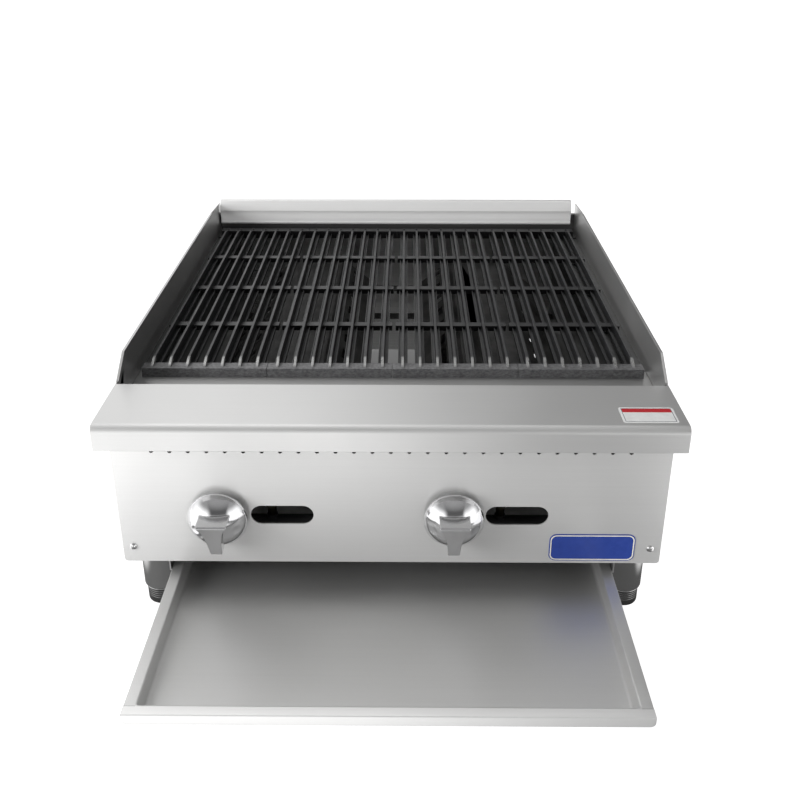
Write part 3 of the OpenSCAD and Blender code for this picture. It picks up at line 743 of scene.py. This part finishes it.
def inlet_thread():
    """The pipe thread on the plain end of the supply pipe."""
    pipe = frame["record"]["mounts"][0]
    x, end_y, z = pipe["pos_m"]
    length = pipe["dims"]["length_mm"] * MM
    root = pipe["dims"]["r_mm"] * MM
    pitch = INCH / THREADS_PER_INCH
    crest = root + 0.75 * MM
    steps = 28
    turns = int(length / pitch) - 2
    valley = root - 0.2 * MM
    mesh = bmesh.new()
    rows = []
    for k in range(steps * turns + 1):
        a = 2 * math.pi * k / steps
        start = end_y - length / 2 + 0.6 * MM + pitch * k / steps
        fade = min(1, k / steps, (steps * turns - k) / steps)
        high_r = root + (crest - root) * max(fade, 0.05)
        ridge = ((valley, 0), (high_r, pitch * 0.42), (high_r, pitch * 0.58), (valley, pitch))
        rows.append([
            mesh.verts.new((x + r * math.cos(a), start + dy, z + r * math.sin(a))) for r, dy in ridge
        ])
    bridge(mesh, rows)
    mesh.faces.new(rows[0])
    mesh.faces.new(rows[-1])
    smooth(piece("gas_inlet_thread", mesh, "pipe", "casing"), 30)


# ---------------------------------------------------------------- studio

def plate_mesh():
    """A square for the stage's floors."""
    mesh = bmesh.new()
    bmesh.ops.create_grid(mesh, x_segments=1, y_segments=1, size=STAGE_HALF)
    return mesh


def stage_piece(name, mesh, paint, height):
    """A piece of the stage, which is no part of the grill."""
    data = bpy.data.meshes.new(name)
    mesh.to_mesh(data)
    mesh.free()
    data.materials.append(paint.material)
    obj = bpy.data.objects.new(name, data)
    obj.location.z = height
    bpy.context.scene.collection.objects.link(obj)
    return obj


def stage():
    """A pale glowing floor with a painted soft shadow under the casing, and the cards that the metal
    mirrors, with a painted shadow near the casing.
    """
    pale = Paint("pale_floor", (0.25, 0.25, 0.25), 0.0, 0.9, Emission_Strength=1.0)
    x = pale.combine("DIVIDE", pale.axis("X"), 0.26)
    y = pale.combine("DIVIDE", pale.combine("SUBTRACT", pale.axis("Y"), 0.17), 0.45)
    away = pale.combine("ADD", pale.combine("MULTIPLY", x, x), pale.combine("MULTIPLY", y, y))
    # Painted shadow: the floor's glow falls to near black under the casing and just behind it.
    glow = pale.span(pale.combine("SQRT", away, 0), 0.03, 1.05, 0.76, 1.14, soft=True)
    pale.tree.links.new(glow, pale.bsdf.inputs["Emission Color"])
    stage_piece("floor", plate_mesh(), pale, -0.0002).visible_glossy = False

    wall = Paint("pale_backdrop", (0.5, 0.5, 0.5), 0.0, 0.9, Emission_Strength=1.0)
    wall.bsdf.inputs["Emission Color"].default_value = (1.05, 1.05, 1.05, 1)
    dome = bmesh.new()
    bmesh.ops.create_icosphere(dome, subdivisions=3, radius=BACKDROP_RADIUS)
    backdrop = stage_piece("backdrop", dome, wall, 0)
    backdrop.visible_glossy = False
    backdrop.visible_diffuse = False
    backdrop.visible_transmission = False
    backdrop.visible_shadow = False

    cards = Paint("mirrored_cards", (0.1, 0.1, 0.1), 0.0, 0.9, Emission_Strength=1.0)
    x = cards.axis("X")
    y = cards.axis("Y")
    ahead = cards.span(x, 1.30, 0.10, -0.14, 0.34, soft=True)
    ahead = cards.combine("MAXIMUM", ahead, cards.span(x, 0, 1.4, 0.50, 0.60, soft=True))
    # Painted shadow in what the metal mirrors: dark within 0.35 m either side of the middle, from 0.42 m in
    # front to about 0.5 m behind.
    side = cards.span(cards.combine("ABSOLUTE", x, 0), 0.08, 1.25, 0.35, 0.40, soft=True)
    behind = cards.span(y, 0, 1.0, 0.50, 0.60, soft=True)
    near = cards.combine("MAXIMUM", side, behind)
    glow = cards.blend(cards.span(y, 0, 1, -0.50, -0.42, soft=True), ahead, near)
    cards.tree.links.new(glow, cards.bsdf.inputs["Emission Color"])
    mirrored = stage_piece("mirrored_floor", plate_mesh(), cards, 0)
    mirrored.visible_camera = False
    mirrored.visible_diffuse = False


def area_light(name, place, target, size, watts):
    """A rectangular light at place that faces target."""
    light = bpy.data.lights.new(name, "AREA")
    light.shape = "RECTANGLE"
    light.size, light.size_y = size
    light.energy = watts
    obj = bpy.data.objects.new(name, light)
    obj.location = place
    obj.rotation_euler = (Vector(target) - Vector(place)).to_track_quat("-Z", "Y").to_euler()
    bpy.context.scene.collection.objects.link(obj)
    return obj


def studio():
    """Soft surroundings: bright at both sides, dark above the horizon ahead of the casing, and fading
    from left to right behind it."""
    world = bpy.data.worlds.new("studio")
    world.use_nodes = True
    tree = world.node_tree
    back = tree.nodes["Background"]
    back.inputs["Strength"].default_value = 1.0
    place = tree.nodes.new("ShaderNodeTexCoord")
    split = tree.nodes.new("ShaderNodeSeparateXYZ")
    tree.links.new(place.outputs["Generated"], split.inputs["Vector"])

    def ramp(axis, start, end, low, high):
        node = tree.nodes.new("ShaderNodeMapRange")
        node.interpolation_type = "SMOOTHSTEP"
        tree.links.new(split.outputs[axis], node.inputs["Value"])
        for socket, value in (("From Min", start), ("From Max", end), ("To Min", low), ("To Max", high)):
            if isinstance(value, (int, float)):
                node.inputs[socket].default_value = value
            else:
                tree.links.new(value, node.inputs[socket])
        return node.outputs["Result"]

    def larger(a, b):
        node = tree.nodes.new("ShaderNodeMath")
        node.operation = "MAXIMUM"
        tree.links.new(a, node.inputs[0])
        tree.links.new(b, node.inputs[1])
        return node.outputs["Value"]

    level = ramp("Z", 0.16, 0.34, 0.75, 0.12)
    low_left = ramp("Z", 0.20, 0.60, 1.7, 0.40)
    low_right = ramp("Z", 0.20, 0.60, 1.6, 0.40)
    left = ramp("X", -0.60, -0.30, low_left, level)
    right = ramp("X", 0.42, 0.64, 0.0, low_right)
    above = ramp("Z", 0.25, 0.90, 0.0, 0.40)
    ahead = larger(larger(left, right), above)
    beyond = ramp("X", -0.20, 0.20, 1.12, 0.16)
    shade = ramp("Y", -0.35, 0.15, ahead, beyond)
    tree.links.new(shade, back.inputs["Color"])
    bpy.context.scene.world = world
    area_light("top", (0, 0.4, 2.2), (0, 0, 0.2), (1.8, 1.2), 5)
    area_light("fill", (-1.15, -0.85, 0.60), (0, 0, 0.2), (0.7, 0.7), 20).visible_glossy = False
    bpy.context.scene.view_settings.view_transform = "Standard"


def camera():
    """The photograph's viewpoint: in front, a little right of the middle, looking down."""
    data = bpy.data.cameras.new("camera")
    data.sensor_width = 36
    data.lens = 42.07
    data.shift_y = -0.1
    obj = bpy.data.objects.new("camera", data)
    obj.location = (0.0164, -1.1163, 0.7767)
    obj.rotation_euler = (math.radians(90 - 23.55), 0, math.radians(0.434))
    bpy.context.scene.collection.objects.link(obj)
    bpy.context.scene.camera = obj


casing_and_grates()
knobs()
legs()
all_screws()
nameplate()
caution_plate()
drip_tray()
inlet_thread()
stage()
studio()
camera()
